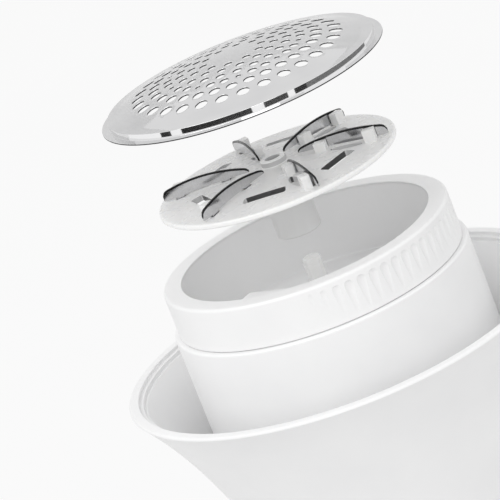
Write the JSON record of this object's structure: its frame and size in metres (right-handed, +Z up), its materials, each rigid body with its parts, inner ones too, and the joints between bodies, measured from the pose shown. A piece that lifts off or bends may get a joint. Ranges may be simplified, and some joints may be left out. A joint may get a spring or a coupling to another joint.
{
  "type": "fabric shaver",
  "caption": "Handheld fabric shaver with a flared body, a fluted twist ring, a perforated steel guard and a bladed rotary cutter lifted off their seats",
  "frame": {"origin": "centre of the underside, on the surface it stands on", "axes": "+Z up along the axis that the ring, spindle, cutter and guard share; -Y is the front, with the power button; +Y is the back, with the charging socket"},
  "size_m": [0.0924, 0.0924, 0.192],
  "materials": {
    "white_plastic": "satin moulded",
    "well_plastic": "fine moulded",
    "milky_plastic": "slightly translucent, moulded",
    "guard_steel": "polished stainless",
    "blade_steel": "ground",
    "motor_steel": "zinc plated",
    "bezel_chrome": "polished",
    "copper": "enamelled copper winding",
    "dark_plastic": "moulded",
    "rubber": "matt",
    "circuit_board": "solder resist",
    "cell_wrap": "shrink wrapped",
    "light_pipe": "clear",
    "frame_grey": "moulded"
  },
  "bodies": {
    "body": {"body_shell": "white_plastic", "head_housing": "white_plastic", "cutting_well": "well_plastic", "lint_baffle": "white_plastic", "shaft_seal": "dark_plastic", "motor_can": "motor_steel", "motor_end_cap": "dark_plastic", "motor_screw_1": "motor_steel", "motor_screw_2": "motor_steel", "inner_frame": "frame_grey", "battery_cell": "cell_wrap", "control_board": "circuit_board", "tact_switch": "dark_plastic", "button_bezel": "bezel_chrome", "charge_light": "light_pipe", "charge_socket": "motor_steel", "base_cap": "white_plastic", "foot_pad": "rubber", "base_screw_1": "motor_steel", "base_screw_2": "motor_steel", "base_screw_3": "motor_steel"},
    "ring": {"lock_ring": "white_plastic"},
    "guard": {"shear_guard": "guard_steel"},
    "spindle": {"drive_peg": "milky_plastic", "motor_shaft": "motor_steel", "motor_rotor": "copper"},
    "cutter": {"cutter_disc": "milky_plastic", "cutter_blade_1": "blade_steel", "cutter_blade_2": "blade_steel", "cutter_blade_3": "blade_steel", "cutter_blade_4": "blade_steel", "cutter_blade_5": "blade_steel", "cutter_blade_6": "blade_steel"},
    "button": {"power_button": "white_plastic"}
  },
  "joints": [
    {"name": "ring_twist", "type": "hinge", "parent": "body", "child": "ring", "pos_m": [0, 0, 0.1405], "axis": [0, 0, 1], "range_deg": [0, 30]},
    {"name": "guard_lift", "type": "slide", "parent": "ring", "child": "guard", "axis": [0, 0, 1], "range_m": [-0.0358, 0]},
    {"name": "spindle_spin", "type": "hinge", "parent": "body", "child": "spindle", "pos_m": [0, 0, 0.1316], "axis": [0, 0, 1], "continuous": true},
    {"name": "cutter_lift", "type": "slide", "parent": "spindle", "child": "cutter", "axis": [0, 0, 1], "range_m": [-0.0163, 0]},
    {"name": "button_press", "type": "slide", "parent": "body", "child": "button", "axis": [0, 1, 0], "range_m": [0, 0.0012], "stiffness_N_per_m": 400}
  ],
  "couplings": [
    {"joint": "cutter_lift", "follows": "guard_lift", "ratio": 0.45531}
  ]
}
